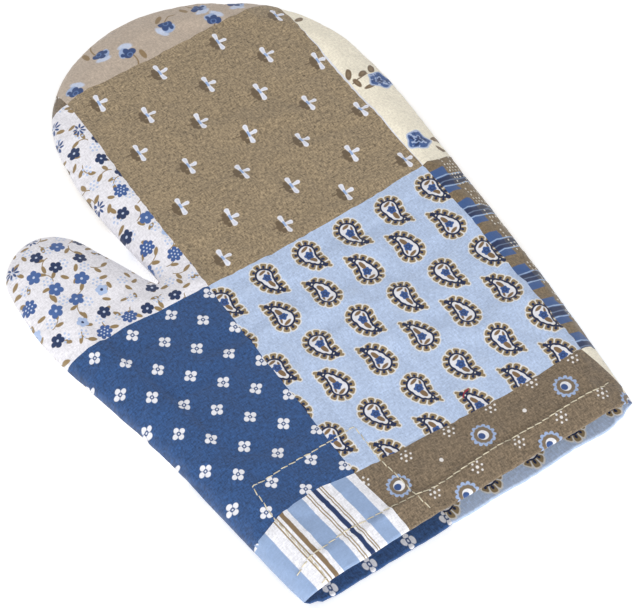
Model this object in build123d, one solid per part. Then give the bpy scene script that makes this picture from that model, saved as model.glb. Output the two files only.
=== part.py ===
from build123d import *
from math import radians, tan
import os

# A quilted cotton oven mitt lying on its back panel: fingers towards +Y, cuff mouth towards -Y,
# thumb towards -X, front panel up. The origin is the middle of its outline, on the floor plane.
# Front and back are each three layers deep (printed cotton, wadding, lining) and meet at one
# seam round the edge, halfway up. Two folds split it in three: palm with cuff, fingers, thumb.

# Driving dimensions, millimetres
mitt_thickness = 16.0
edge_radius = 7.6
cotton_thickness = 0.6
wadding_thickness = 3.0
lining_thickness = 0.4
cuff_y = -140.7
hem_depth = 14.0
fold_gap = 0.5

# The outline, anticlockwise from the left end of the cuff: (x, y) of each corner, and its rounding.
# The cuff's two corners stay sharp, because the mouth is cut across a longer block.
mouth_overrun = 30.0
cuff_left_x = -75.4
cuff_right_x = 85.0
outline = [
    (-71.2, cuff_y - mouth_overrun, 0.0),
    (80.3, cuff_y - mouth_overrun, 0.0),
    (91.0, -69.0, 600.0),
    (98.3, 46.0, 160.0),
    (95.3, 84.0, 72.0),
    (80.0, 113.5, 64.0),
    (48.5, 134.5, 76.0),
    (14.0, 143.6, 60.0),
    (-22.0, 130.0, 56.0),
    (-41.0, 106.0, 55.0),
    (-46.8, 71.0, 150.0),
    (-42.0, 7.5, 1.2),
    (-60.5, 51.0, 28.0),
    (-73.5, 63.5, 17.0),
    (-95.5, 53.0, 20.0),
    (-99.0, 13.0, 130.0),
    (-84.5, -59.0, 260.0),
]

# Fold lines, both on the front surface: the fingers fold about a line across the mitt, and the
# thumb about a slanting line a little way out from the crotch between thumb and fingers.
finger_fold_y = 57.0
crotch = Vector(-44.5, 13.5, 0.0)
thumb_fold_direction = Vector(0.6, 0.8, 0.0)
thumb_fold_offset = 11.0
notch_x = -47.2

# Sewing
thread_radius = 0.25
stitch_length = 2.7
stitch_pitch = 3.6
hem_stitch_inset = 12.5
hem_stitch_side_margin = 9.0
seam_thread_inset = 2.2
stitch_sink = 0.06
patch_row_top_y = cuff_y + 50.7
patch_row_end_y = cuff_y + 1.5
patch_stitch_path = [
    (-60.8, patch_row_end_y),
    (-63.0, patch_row_top_y),
    (-15.0, patch_row_top_y),
    (-11.0, patch_row_end_y),
]
patch_left = -66.0
patch_right = -12.0
patch_top_y = cuff_y + 54.0
patch_thickness = 0.5

mid_z = mitt_thickness / 2
far = 400.0
wadding_inset = cotton_thickness
lining_inset = wadding_inset + wadding_thickness
hollow_inset = lining_inset + lining_thickness
hem_return_inset = hollow_inset + cotton_thickness


def rounded_outline():
    """The outline as lines and tangent arcs."""
    corners = [Vector(x, y) for x, y, radius in outline]
    count = len(corners)
    starts = []
    ends = []
    for i, (x, y, radius) in enumerate(outline):
        back = (corners[i - 1] - corners[i]).normalized()
        ahead = (corners[(i + 1) % count] - corners[i]).normalized()
        reach = 0.0
        if radius > 0:
            half_turn = (180 - back.get_angle(ahead)) / 2
            reach = radius * tan(radians(half_turn))
        starts.append(corners[i] + back * reach)
        ends.append(corners[i] + ahead * reach)
    edges = []
    for i in range(count):
        if outline[i][2] > 0:
            along = (corners[i] - starts[i]).normalized()
            edges.append(TangentArc([starts[i], ends[i]], tangent=along))
        edges.append(Line(ends[i], starts[(i + 1) % count]))
    return make_face(edges)


def slab(low, high):
    """A box between two corners, given as (x, y, z)."""
    size = [high[i] - low[i] for i in range(3)]
    return Pos(*low) * Box(*size, align=(Align.MIN, Align.MIN, Align.MIN))


def beyond_y(y):
    """Everything on the finger side of a crosswise line."""
    return slab((-far, y, -far), (far, far, far))


def pillow(inset):
    """The mitt's rounded block, inset from the outside by this much all round."""
    face = rounded_outline()
    if inset > 0:
        face = offset(face, amount=-inset, kind=Kind.INTERSECTION)
    block = Pos(0, 0, inset) * extrude(face, amount=mitt_thickness - 2 * inset)
    rims = block.edges().group_by(Axis.Z)
    return fillet(rims[0] + rims[-1], radius=edge_radius - inset)


def turned_hem(hollow, hem_hollow, inside):
    """The cuff's edge band, and the strip that turns back into the mouth."""
    end = slab((-far, cuff_y, -far), (far, cuff_y + cotton_thickness, far))
    strip = slab((-far, cuff_y, -far), (far, cuff_y + hem_depth, far))
    return (inside & end) - hem_hollow + ((hollow & strip) - hem_hollow)


def whole_layers():
    """The printed cotton, wadding and lining, each as one bag round the hollow."""
    blocks = [pillow(0.0), pillow(wadding_inset), pillow(lining_inset), pillow(hollow_inset)]
    hem_hollow = pillow(hem_return_inset)
    from_cuff = beyond_y(cuff_y)
    from_hem = beyond_y(cuff_y + cotton_thickness)
    cotton = (blocks[0] - blocks[1]) & from_cuff
    cotton = cotton + turned_hem(blocks[3], hem_hollow, blocks[1])
    wadding = (blocks[1] - blocks[2]) & from_hem
    lining = (blocks[2] - blocks[3]) & from_hem
    return {"outer": cotton, "wadding": wadding, "lining": lining}


def fold_line_point(offset_out):
    """A point on the thumb's fold line, moved away from the palm by this much."""
    outward = Vector(-thumb_fold_direction.Y, thumb_fold_direction.X, 0)
    return crotch + outward * (thumb_fold_offset + offset_out)


def beyond_thumb_fold(offset_out):
    """Everything on the thumb's side of its fold line and left of the notch."""
    outward = Vector(-thumb_fold_direction.Y, thumb_fold_direction.X, 0)
    near = fold_line_point(offset_out)
    run = thumb_fold_direction * far
    reach = outward * far
    corners = [near - run, near + run, near + run + reach, near - run + reach]
    side = extrude(make_face(Polyline(*corners, close=True)), amount=far)
    return side & slab((-far, -far, 0), (notch_x, far, far))


def body_regions():
    """The space that each body keeps, with a gap along both folds."""
    half_gap = fold_gap / 2
    fingers = slab((notch_x, finger_fold_y + half_gap, 0), (far, far, far))
    thumb = beyond_thumb_fold(half_gap)
    palm = slab((-far, -far, 0), (far, finger_fold_y - half_gap, far)) - beyond_thumb_fold(-half_gap)
    return {"palm": palm, "fingers": fingers, "thumb": thumb}


def seam_thread():
    """The closing seam's thread, round the edge halfway up, from one side of the cuff to the other."""
    path = offset(rounded_outline(), amount=-seam_thread_inset, kind=Kind.INTERSECTION)
    loops = []
    for radius in (thread_radius, -thread_radius):
        loops.append(offset(path, amount=radius, kind=Kind.INTERSECTION))
    ring = extrude(loops[0] - loops[1], amount=2 * thread_radius)
    ring = Pos(0, 0, mid_z - thread_radius) * ring
    return ring & beyond_y(cuff_y + cotton_thickness)


def stitch(start, heading, z):
    """One stitch, a straight bit of thread lying flat."""
    place = Plane(origin=(start.X, start.Y, z), z_dir=heading)
    return place * Cylinder(thread_radius, stitch_length, align=(Align.CENTER, Align.CENTER, Align.MIN))


def stitch_row(path, z):
    """Stitches at an even pitch along a path of straight runs."""
    stitches = []
    for start, end in zip(path[:-1], path[1:]):
        run = Vector(*end) - Vector(*start)
        heading = run.normalized()
        for i in range(int(run.length / stitch_pitch)):
            stitches.append(stitch(Vector(*start) + heading * (i * stitch_pitch), heading, z))
    return stitches


def hem_row_path():
    """The straight hem stitch line between the two rounded sides."""
    y = cuff_y + hem_stitch_inset
    return [(cuff_left_x + hem_stitch_side_margin, y), (cuff_right_x - hem_stitch_side_margin, y)]


def front_surface_z():
    """Height of a thread pressed into the front's outside."""
    return mitt_thickness - stitch_sink


def back_surface_z():
    """Height of a thread sunk flush into the back's outside."""
    return thread_radius + stitch_sink


def export(shapes, name):
    """Writes one node."""
    export_step(Compound(children=list(shapes)), f"parts/{name}.step")


def make_layers(regions):
    """Six fabric nodes for each body: front and back of the cotton, wadding and lining."""
    halves = {
        "front": slab((-far, -far, mid_z), (far, far, far)),
        "back": slab((-far, -far, -far), (far, far, mid_z)),
    }
    for layer, bag in whole_layers().items():
        for side, half in halves.items():
            panel = bag & half
            for body, region in regions.items():
                export((panel & region).solids(), f"{side}_{layer}_{body}")


def make_sewing(regions):
    """The closing seam's thread, the two hem rows, the inner patch and its stitching."""
    thread = seam_thread()
    for body, region in regions.items():
        export((thread & region).solids(), f"seam_thread_{body}")
    inside_front_z = mitt_thickness - hem_return_inset
    front_row = stitch_row(hem_row_path(), front_surface_z()) + stitch_row(hem_row_path(), inside_front_z)
    back_row = stitch_row(hem_row_path(), back_surface_z()) + stitch_row(hem_row_path(), hem_return_inset)
    export(front_row, "front_hem_stitching")
    export(back_row, "back_hem_stitching")
    patch_top_z = mitt_thickness - hollow_inset
    patch_low = (patch_left, cuff_y + hem_depth, patch_top_z - patch_thickness)
    export([slab(patch_low, (patch_right, patch_top_y, patch_top_z))], "cuff_patch")
    export(stitch_row(patch_stitch_path, front_surface_z()), "patch_stitching")


os.makedirs("parts", exist_ok=True)
body_spaces = body_regions()
make_layers(body_spaces)
make_sewing(body_spaces)
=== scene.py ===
import math

import bpy
import numpy as np
from mathutils import Matrix, Vector, noise
from mathutils.bvhtree import BVHTree
from mathutils.geometry import delaunay_2d_cdt


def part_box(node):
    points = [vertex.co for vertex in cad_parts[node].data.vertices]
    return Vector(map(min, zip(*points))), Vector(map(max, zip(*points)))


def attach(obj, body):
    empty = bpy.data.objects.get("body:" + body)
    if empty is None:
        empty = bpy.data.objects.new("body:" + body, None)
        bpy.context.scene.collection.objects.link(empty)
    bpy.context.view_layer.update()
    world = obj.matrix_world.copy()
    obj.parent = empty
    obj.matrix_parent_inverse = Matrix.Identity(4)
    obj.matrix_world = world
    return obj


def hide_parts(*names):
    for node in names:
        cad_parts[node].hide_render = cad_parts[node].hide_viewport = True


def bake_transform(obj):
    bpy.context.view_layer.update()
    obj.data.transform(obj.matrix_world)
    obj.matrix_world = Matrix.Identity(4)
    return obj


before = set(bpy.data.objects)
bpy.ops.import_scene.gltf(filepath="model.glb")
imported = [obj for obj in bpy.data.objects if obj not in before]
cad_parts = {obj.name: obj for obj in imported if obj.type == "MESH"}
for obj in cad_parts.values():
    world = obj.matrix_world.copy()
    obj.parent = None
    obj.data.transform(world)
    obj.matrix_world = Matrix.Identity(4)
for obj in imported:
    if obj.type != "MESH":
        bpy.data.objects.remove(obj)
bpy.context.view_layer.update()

# All lengths below are in millimetres, in the frame of the CAD part, unless a name says otherwise.
MM = 0.001

# The body's size, from the frame, and the height of the seam between its two panels
CUFF_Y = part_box("front_outer_palm")[0].y / MM
TOP_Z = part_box("front_outer_palm")[1].z / MM
SEAM_Z = 6.6

# The seam line's corners and their rounding, clockwise from the left end of the cuff
OUTLINE = [
    (-74.7, CUFF_Y, 0.0),
    (-84.5, -59.0, 260.0),
    (-99.0, 13.0, 130.0),
    (-95.5, 53.0, 20.0),
    (-73.5, 63.5, 17.0),
    (-60.5, 51.0, 28.0),
    (-42.0, 7.5, 1.2),
    (-46.8, 71.0, 150.0),
    (-41.0, 106.0, 55.0),
    (-22.0, 130.0, 56.0),
    (14.0, 143.6, 60.0),
    (48.5, 134.5, 76.0),
    (80.0, 113.5, 64.0),
    (95.3, 84.0, 72.0),
    (98.3, 46.0, 160.0),
    (91.0, -69.0, 600.0),
    (83.4, CUFF_Y, 0.0),
]
CROTCH = (-44.6, 13.6)

# Cloth build
EDGE_STEP = 2.0
ARC_POINTS = 24
GRID_STEP = 2.7
HEM_GRID_STEP = 1.6
GRID_REACH = 100
GRID_TOP = 142
# How near points of one kind may come to another kind, in grid steps
LINE_TO_RIM = 0.35
LINE_TO_SPLIT = 0.3
POINT_TO_LINE = 0.45
RING_INSETS = (0.8, 1.9, 3.4, 5.4, 8.0)
EDGE_SOFTNESS = 17.0
PANEL_THICKNESS = 3.6
HEM_THICKNESS = 1.9
HEM_DEPTH = 14.0
HEM_FADE = 22.0
HEM_DROP = 1.3
HEM_DROP_REACH = 9.0
CROWN_DROP = 0.9
ROUNDNESS = 0.62
HEM_TURN_ANGLES = (36, 72, 108, 144, 180)
HEM_RETURN_ROWS = (2, 5, 8, 11, 14)
HEM_CORNER = 4.0
SEAM_TAPER = 6.0
COTTON_GAP = 0.3
LINING_GAP = 0.35
LEAST_PAD = 0.15
LEAST_LINING_DEPTH = 0.2
# How far in from the seam and from the hem the wadding and the lining start
PAD_MARGINS = (1.3, 1.5)
LINER_MARGINS = (0.7, 11.5)
FAR = 80.0

# Unevenness of the filled panels: the height, size and seed of each wave, and the edge's gathers
WAVES = ((0.55, 42, 3.1), (0.22, 17, 8.4))
GATHER_HEIGHT = 0.42
GATHER_WIDTH = 6.5
GATHER_REACH = 5.0
GATHER_SEEDS = {"front": 1.7, "back": 5.2}
BACK_GATHER_SHARE = 0.25
BACK_GATHER_RISE = 0.3
# How the hem's edge wanders: the seed, how far, and how much further out than straight
HEM_DRIFT = {"front": (2.2, 0.6, 0.0), "back": (6.1, 0.8, 1.6)}
HEM_DRIFT_SIZE = 21.0
HEM_DRIFT_REACH = 11.0

# Cloth simulation
SIM_FRAMES = 18
SIM_REACH = 2.5
FLOOR_HEIGHT = 0.4
FLOOR_HOLD = 0.75
SHAPE_HOLD = 0.35
CLOTH_SETTINGS = {
    "quality": 6,
    "mass": 0.25,
    "tension_stiffness": 18,
    "compression_stiffness": 18,
    "shear_stiffness": 8,
    "bending_stiffness": 0.35,
    "air_damping": 4,
    "vertex_group_mass": "hold",
    "pin_stiffness": 0.5,
    "shrink_min": -0.018,
    "use_pressure": True,
    "uniform_pressure_force": 0.6,
}

# Threads
STITCH_PITCH = 3.6
STITCH_LENGTH = 3.2
STITCH_LEAN = 0.18
SEAM_INSET = 1.1
SEAM_PITCH = 2.6
SEAM_STITCH = 2.2
# Each ring of a stitch: its place along the stitch from 0 to 1, the thread's radius, the height of
# its middle, and how much of the lean it takes
STITCH_RINGS = (
    (0.0, 0.14, -0.1, -1.0),
    (0.12, 0.24, 0.08, -0.8),
    (0.5, 0.27, 0.15, 0.0),
    (0.88, 0.24, 0.08, 0.8),
    (1.0, 0.14, -0.1, 1.0),
)
THREAD_SIDES = 6
STRAY_THREAD = ((0.0, 37.7), (4.2, 40.5))
STRAY_RADIUS = 0.3
STRAY_LIFT = 0.2
STRAY_POINTS = 9

# The name of the cloth coordinates on each piece, and how many millimetres one unit of them is
CLOTH_UV = "cloth"
UV_UNIT = 100.0

# The pitch of the threads in the weave relief
WEAVE_SIZE = 0.42

# Cloth coordinates: millimetres across from the middle of the middle column of printed patches,
# and up from the front's hem
CLOTH_ORIGIN = np.array((25.25, -143.2))
CLOTH_SHIFT = {"front": np.array((0.0, 0.0)), "back": np.array((-24.0, 60.0))}

# The lines between the printed patches, as places that each line passes through
LEFT_LINE = [
    (-50.6, -20), (-50.6, 0), (-52.8, 18), (-54.9, 33), (-55.0, 90),
    (-54.6, 141), (-54.6, 190), (-53.2, 256), (-53.0, 330),
]
RIGHT_LINE = [
    (60.0, -20), (58.6, 0), (57.4, 10), (55.4, 20), (53.2, 31),
    (54.0, 70), (53.5, 140), (52.6, 200), (53.6, 238), (53.6, 330),
]
CUFF_LINE = [
    (-130, 28.5), (-106, 30.0), (-90, 34.6), (-72, 36.6), (-55, 33.6),
    (-24, 32.2), (18, 29.6), (54, 30.6), (80, 31),
]
MIDDLE_LINE = [
    (-140, 141.0), (-92, 140.4), (-54.6, 139.2), (-18, 137.8), (18, 138.6), (53.5, 140.8), (80, 141),
]
TOP_LINE = [(-80, 254.5), (-53, 255.0), (0, 254.6), (45, 255.6), (80, 256)]
PATCH_LINES = (LEFT_LINE, RIGHT_LINE, CUFF_LINE, MIDDLE_LINE, TOP_LINE)

# The prints of each column of patches, from the cuff up
PATCHES = (
    ("stripes", "denim", "floral", "medallions"),
    ("medallions", "paisley", "taupe", "rosebuds"),
    ("roses", "plaid", "roses", "rosebuds"),
)

# Rows of stitches and the small cloth inside the cuff, in cloth coordinates
HEM_ROWS = {
    "front": [
        (-97.0, 10.5), (-90, 13), (-70, 14.7), (-52, 13.3), (-32, 11.3),
        (1.3, 12.2), (18, 11.3), (34.7, 11.8), (49.7, 11.3), (56.0, 13.8),
    ],
    "back": [(-97.5, 15.2), (-60, 14.6), (-20, 15.4), (20, 15.0), (56.5, 15.4)],
}
PATCH_ROW = [
    (-88.5, 1.0), (-91.5, 33.8), (-91.2, 50.5), (-48.1, 50.7),
    (-43.1, 51.2), (-43.2, 33.8), (-40.8, 11.7), (-37.8, 1.0),
]
INNER_PATCH_U = (-91.0, -42.5)
INNER_PATCH_V = (13.0, 52.5)
INNER_PATCH_GRID = (22, 18)
INNER_PATCH_GAP = 0.15

# The bodies that each part of the mitt covers
BODIES = {"hand": ("palm", "thumb"), "fingers": ("fingers",)}

# For each part: a body, a place where a blend toward it would start, and where it would be complete. The
# pieces don't follow the body.
BLENDS = {"hand": ("thumb", (-44.5, 13.5), (-62.1, 26.7)), "fingers": ("fingers", (0, 39.0), (0, 75.0))}

# The studio: each light's name, place in metres, watts and size, and the camera's frame
LIGHTS = (("key", (-0.45, 0.45, 1.15), 4.6, 0.8), ("fill", (-0.35, -0.95, 0.32), 7.0, 0.7))
FLOOR_HALF = 1.5
FLOOR_Z = -0.0002
CAMERA_PLACE = (-285.6, -463.1, 779.3)
CAMERA_RIGHT = (0.829, -0.5592, 0.0)
CAMERA_FORWARD = (0.3123, 0.4629, -0.8296)


def to_cloth(x, y, side="front"):
    """Cloth coordinates of a place on a panel."""
    shift = CLOTH_SHIFT[side]
    return x - CLOTH_ORIGIN[0] + shift[0], y - CLOTH_ORIGIN[1] + shift[1]


def lengths(vectors):
    """The length of each row."""
    return np.linalg.norm(vectors, axis=1)


def rounded_path(corners, step):
    """Points along lines and tangent arcs, evenly about a step apart."""
    places = [np.array(c[:2], float) for c in corners]
    dense = []
    for i, (x, y, radius) in enumerate(corners):
        here = places[i]
        if radius == 0:
            dense.append(here)
            continue
        back = places[i - 1] - here
        ahead = places[i + 1] - here
        back /= np.linalg.norm(back)
        ahead /= np.linalg.norm(ahead)
        half = math.acos(np.clip(back @ ahead, -1, 1)) / 2
        centre = here + (back + ahead) / np.linalg.norm(back + ahead) * radius / math.sin(half)
        first = here + back * radius / math.tan(half) - centre
        last = here + ahead * radius / math.tan(half) - centre
        turn = math.atan2(first[0] * last[1] - first[1] * last[0], first @ last)
        start = math.atan2(first[1], first[0])
        for angle in start + turn * np.linspace(0, 1, ARC_POINTS):
            dense.append(centre + radius * np.array([math.cos(angle), math.sin(angle)]))
    return resampled(dense, step)


def run_along(points):
    """The distance along a path to each of its points."""
    return np.concatenate([[0], np.cumsum(lengths(np.diff(points, axis=0)))])


def resampled(path, step):
    """The same path with points at even spacing."""
    path = np.array(path, float)
    run = run_along(path)
    even = np.linspace(0, run[-1], int(round(run[-1] / step)) + 1)
    return np.stack([np.interp(even, run, path[:, k]) for k in (0, 1)], 1)


def inward_normals(path):
    """Unit normals of a clockwise path, pointing into the mitt. The ends point straight across."""
    tangent = np.gradient(path, axis=0)
    tangent /= lengths(tangent)[:, None]
    normals = np.stack([tangent[:, 1], -tangent[:, 0]], 1)
    normals[0] = (1, 0)
    normals[-1] = (-1, 0)
    return normals


def nearest_on(path, points):
    """Distance of each point to a path, and the index of the nearest path point."""
    gaps = np.linalg.norm(points[:, None, :] - path[None, :, :], axis=2)
    nearest = gaps.argmin(1)
    return gaps[np.arange(len(points)), nearest], nearest


def distance_to(path, points):
    """Distance of each point to a path."""
    return nearest_on(path, points)[0]


def inside(points, path):
    """True for points inside the closed path."""
    x, y = points.T
    found = np.zeros(len(points), bool)
    for (x0, y0), (x1, y1) in zip(path, np.roll(path, -1, axis=0)):
        if y0 != y1:
            crosses = (y0 > y) != (y1 > y)
            found ^= crosses & (x < (x1 - x0) * (y - y0) / (y1 - y0) + x0)
    return found


def split_line():
    """The line from the crotch to the right side that parts the finger end from the rest."""
    across = np.array(MIDDLE_LINE[2:], float) + CLOTH_ORIGIN
    return np.concatenate([[CROTCH], across])


def in_fingers(points):
    """True for points beyond the split line."""
    on_line = np.interp(points[:, 0], *split_line().T)
    return (points[:, 1] > on_line) & (points[:, 0] > CROTCH[0] - 2.8)


def panel_points(path, side):
    """All the points of one flat panel, and the constraint edges between them.

    The seam's points come first, then the hem's, then the patch lines', then the rest."""
    hem_count = int((path[-1][0] - path[0][0]) / GRID_STEP)
    hem = [(x, CUFF_Y) for x in np.linspace(path[-1][0], path[0][0], hem_count + 1)[1:-1]]
    rim = np.concatenate([path, hem])
    points = [tuple(p) for p in rim]
    edges = [(i, (i + 1) % len(rim)) for i in range(len(rim))]
    split = resampled(split_line(), GRID_STEP)[1:]
    lines = [split]
    for line in PATCH_LINES:
        lines.append(resampled(np.array(line, float) - CLOTH_SHIFT[side] + CLOTH_ORIGIN, GRID_STEP))
    for line in lines:
        keep = inside(line, rim) & (distance_to(rim, line) > LINE_TO_RIM * GRID_STEP)
        if line is not split:
            keep &= distance_to(split, line) > LINE_TO_SPLIT * GRID_STEP
        for k in np.flatnonzero(keep):
            if k and keep[k - 1]:
                edges.append((len(points) - 1, len(points)))
            points.append(tuple(line[k]))
    on_lines = np.array(points[len(rim) :])
    clouds = []
    for inset in RING_INSETS:
        ring = path + inward_normals(path) * inset
        ring = ring[inside(ring, rim)]
        ring = ring[distance_to(path, ring) > inset * 0.97]
        clouds.append(ring[ring[:, 1] > CUFF_Y + 0.9])
    xs = np.arange(-GRID_REACH, GRID_REACH, GRID_STEP)
    hem_ys = CUFF_Y + np.arange(GRID_STEP, 2 * HEM_DEPTH, HEM_GRID_STEP)
    ys = np.concatenate([hem_ys, np.arange(CUFF_Y + 2 * HEM_DEPTH, GRID_TOP, GRID_STEP)])
    grid = np.array([(x + (GRID_STEP / 2 if k % 2 else 0), y) for k, y in enumerate(ys) for x in xs])
    grid = grid[inside(grid, rim)]
    clouds.append(grid[distance_to(path, grid) > RING_INSETS[-1] + 0.5 * GRID_STEP])
    for cloud in clouds:
        clear = distance_to(on_lines, cloud) > POINT_TO_LINE * GRID_STEP
        points += [tuple(p) for p in cloud[clear]]
    return points, edges


def flat_panel(path, side):
    """One flat panel: its points, its triangles, and the points that lie along the seam."""
    points, edges = panel_points(path, side)
    made = delaunay_2d_cdt([Vector(p) for p in points], edges, [], 1, 1e-4)
    places, triangles, origins = made[0], made[2], made[3]
    new_index = {old: new for new, olds in enumerate(origins) for old in olds}
    seam = [new_index[i] for i in range(len(path))]
    return np.array([tuple(p) for p in places]), [tuple(t) for t in triangles], seam


def soft_noise(x, y, size, seed):
    """Smooth noise from -1 to 1 over the cloth, with bumps about size apart."""
    return np.array([noise.noise(Vector((a / size, b / size, seed))) for a, b in zip(x, y)])


def gathers(gap, nearest, side):
    """Small gathers that run in from the seam."""
    along = nearest * EDGE_STEP
    wave = [noise.noise(Vector((a / GATHER_WIDTH, GATHER_SEEDS[side], 0.3))) for a in along]
    return GATHER_HEIGHT * (np.array(wave) * np.exp(-gap / GATHER_REACH))


def hem_drift(x, near_hem, u, side):
    """How far the hem's edge wanders from a straight line. The back's reaches out a little further."""
    seed, reach, out = HEM_DRIFT[side]
    wander = reach * soft_noise(x, 0 * x, HEM_DRIFT_SIZE, seed) - out
    return wander * np.clip(1 - near_hem / HEM_DRIFT_REACH, 0, 1) * u * u * (3 - 2 * u)


def puffed(points, path, side):
    """The panel's points raised to the filled mitt's shape."""
    gap, nearest = nearest_on(path, points)
    u = np.clip(gap / EDGE_SOFTNESS, 0, 1)
    rise = (1 - (1 - u) ** 2) ** ROUNDNESS
    x, y = points.T
    gathered = gathers(gap, nearest, side)
    inner = np.clip(u * 3, 0, 1)
    near_hem = y - CUFF_Y
    if side == "front":
        wave = sum(height * soft_noise(x, y, size, seed) for height, size, seed in WAVES)
        z = SEAM_Z + (TOP_Z - CROWN_DROP - SEAM_Z) * rise + (wave + gathered) * inner
        z -= HEM_DROP * np.clip(1 - near_hem / HEM_DROP_REACH, 0, 1) ** 1.5 * u
    else:
        z = SEAM_Z * (1 - rise) + BACK_GATHER_SHARE * (gathered + BACK_GATHER_RISE) * inner * (1 - rise)
    return np.stack([x, y + hem_drift(x, near_hem, u, side), z], 1)


def joined_shell(path):
    """Front and back panels as one shell, sewn along the seam.

    Gives the vertices, their flat places, the triangles of each side, and the seam's vertices."""
    front_flat, front_faces, front_seam = flat_panel(path, "front")
    back_flat, back_faces, back_seam = flat_panel(path, "back")
    front = puffed(front_flat, path, "front")
    back = puffed(back_flat, path, "back")
    place_of = dict(zip(back_seam, front_seam))
    keep = [i for i in range(len(back)) if i not in place_of]
    for new, old in enumerate(keep):
        place_of[old] = len(front) + new
    verts = np.concatenate([front, back[keep]])
    flat = np.concatenate([front_flat, back_flat[keep]])
    back_faces = [tuple(place_of[i] for i in reversed(t)) for t in back_faces]
    return {"verts": verts, "flat": flat, "front": front_faces, "back": back_faces, "seam": front_seam}


def relaxed(shell):
    """The shell after a short cloth simulation: a little spare cloth wrinkles, held near its shape."""
    mesh = bpy.data.meshes.new("cloth_test")
    mesh.from_pydata([tuple(v * MM) for v in shell["verts"]], [], shell["front"] + shell["back"])
    cloth = bpy.data.objects.new("cloth_test", mesh)
    bpy.context.scene.collection.objects.link(cloth)
    hold = cloth.vertex_groups.new(name="hold")
    for i, z in enumerate(shell["verts"][:, 2]):
        hold.add([i], FLOOR_HOLD if z < FLOOR_HEIGHT else SHAPE_HOLD, "REPLACE")
    bpy.context.view_layer.objects.active = cloth
    modifier = cloth.modifiers.new("cloth", "CLOTH")
    for name, value in CLOTH_SETTINGS.items():
        setattr(modifier.settings, name, value)
    modifier.settings.effector_weights.gravity = 0.0
    modifier.collision_settings.use_collision = False
    modifier.point_cache.frame_start = 1
    modifier.point_cache.frame_end = SIM_FRAMES
    for step in range(1, SIM_FRAMES + 1):
        bpy.context.scene.frame_set(step)
    settled = cloth.evaluated_get(bpy.context.evaluated_depsgraph_get())
    after = np.array([v.co for v in settled.data.vertices]) / MM
    bpy.data.objects.remove(cloth)
    bpy.data.meshes.remove(mesh)
    bpy.context.scene.frame_set(1)
    move = after - shell["verts"]
    reach = lengths(move)
    move *= (np.minimum(reach, SIM_REACH) / np.maximum(reach, 1e-9))[:, None]
    verts = shell["verts"] + move
    verts[:, 2] = np.maximum(verts[:, 2], 0.0)
    return dict(shell, verts=verts)


def linear(colour):
    """An sRGB colour from 0 to 255 as a linear one."""
    made = []
    for part in colour:
        c = part / 255
        made.append(c / 12.92 if c <= 0.04045 else ((c + 0.055) / 1.055) ** 2.4)
    return (*made, 1.0)


def set_inputs(node, **values):
    """Sets a node's inputs. An underscore in a name stands for a space."""
    for name, value in values.items():
        node.inputs[name.replace("_", " ")].default_value = value


class Value:
    """A number in a shader tree, with ordinary arithmetic."""

    def __init__(self, tree, socket):
        self.tree = tree
        self.socket = socket

    def __add__(self, other):
        return self.tree.math("ADD", self, other)

    def __radd__(self, other):
        return self.tree.math("ADD", other, self)

    def __sub__(self, other):
        return self.tree.math("SUBTRACT", self, other)

    def __rsub__(self, other):
        return self.tree.math("SUBTRACT", other, self)

    def __mul__(self, other):
        return self.tree.math("MULTIPLY", self, other)

    def __rmul__(self, other):
        return self.tree.math("MULTIPLY", other, self)

    def __truediv__(self, other):
        return self.tree.math("DIVIDE", self, other)

    def __abs__(self):
        return self.tree.math("ABSOLUTE", self)


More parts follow.
